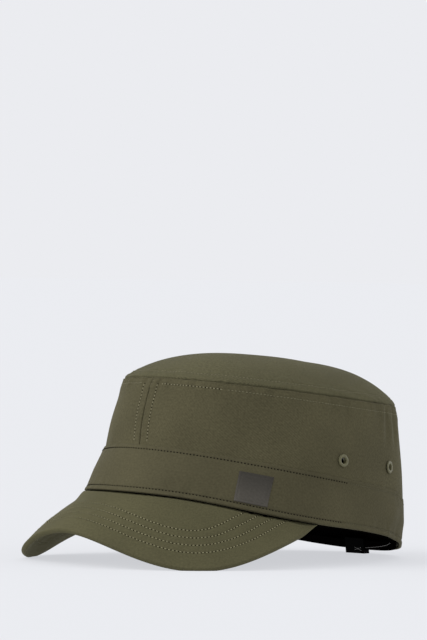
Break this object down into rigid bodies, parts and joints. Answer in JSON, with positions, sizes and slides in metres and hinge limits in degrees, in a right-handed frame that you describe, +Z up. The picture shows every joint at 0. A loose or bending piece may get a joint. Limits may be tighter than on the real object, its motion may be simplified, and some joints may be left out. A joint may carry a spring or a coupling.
{
  "type": "army cap",
  "caption": "Soft olive cloth cap: a drum-shaped crown with a low domed top, a wide band with a plain label, side vent rings and a curved stitched peak.",
  "frame": {"origin": "on the resting surface, below the middle of the box round the part", "axes": "+Z up from the resting surface, +Y from the peak toward the back of the cap, +X toward the wearer's left"},
  "size_m": [0.1744, 0.2536, 0.1221],
  "materials": {
    "top_cloth": "matte cotton twill",
    "crown_cloth": "matte cotton twill",
    "band_cloth": "matte cotton twill",
    "peak_cloth": "matte cotton twill over a stiff board",
    "black_elastic": "woven black elastic",
    "black_plastic": "moulded",
    "label_weave": "fine dark weave",
    "ring_paint": "olive satin paint"
  },
  "bodies": {
    "root": {"crown_top": "top_cloth", "crown_wall_left": "crown_cloth", "crown_wall_right": "crown_cloth", "band": "band_cloth", "sweatband": "black_elastic", "peak": "peak_cloth", "label": "label_weave", "eyelet_left_front": "ring_paint", "eyelet_left_back": "ring_paint", "eyelet_right_front": "ring_paint", "eyelet_right_back": "ring_paint", "back_strap": "black_elastic", "strap_slider": "black_plastic"}
  },
  "joints": []
}
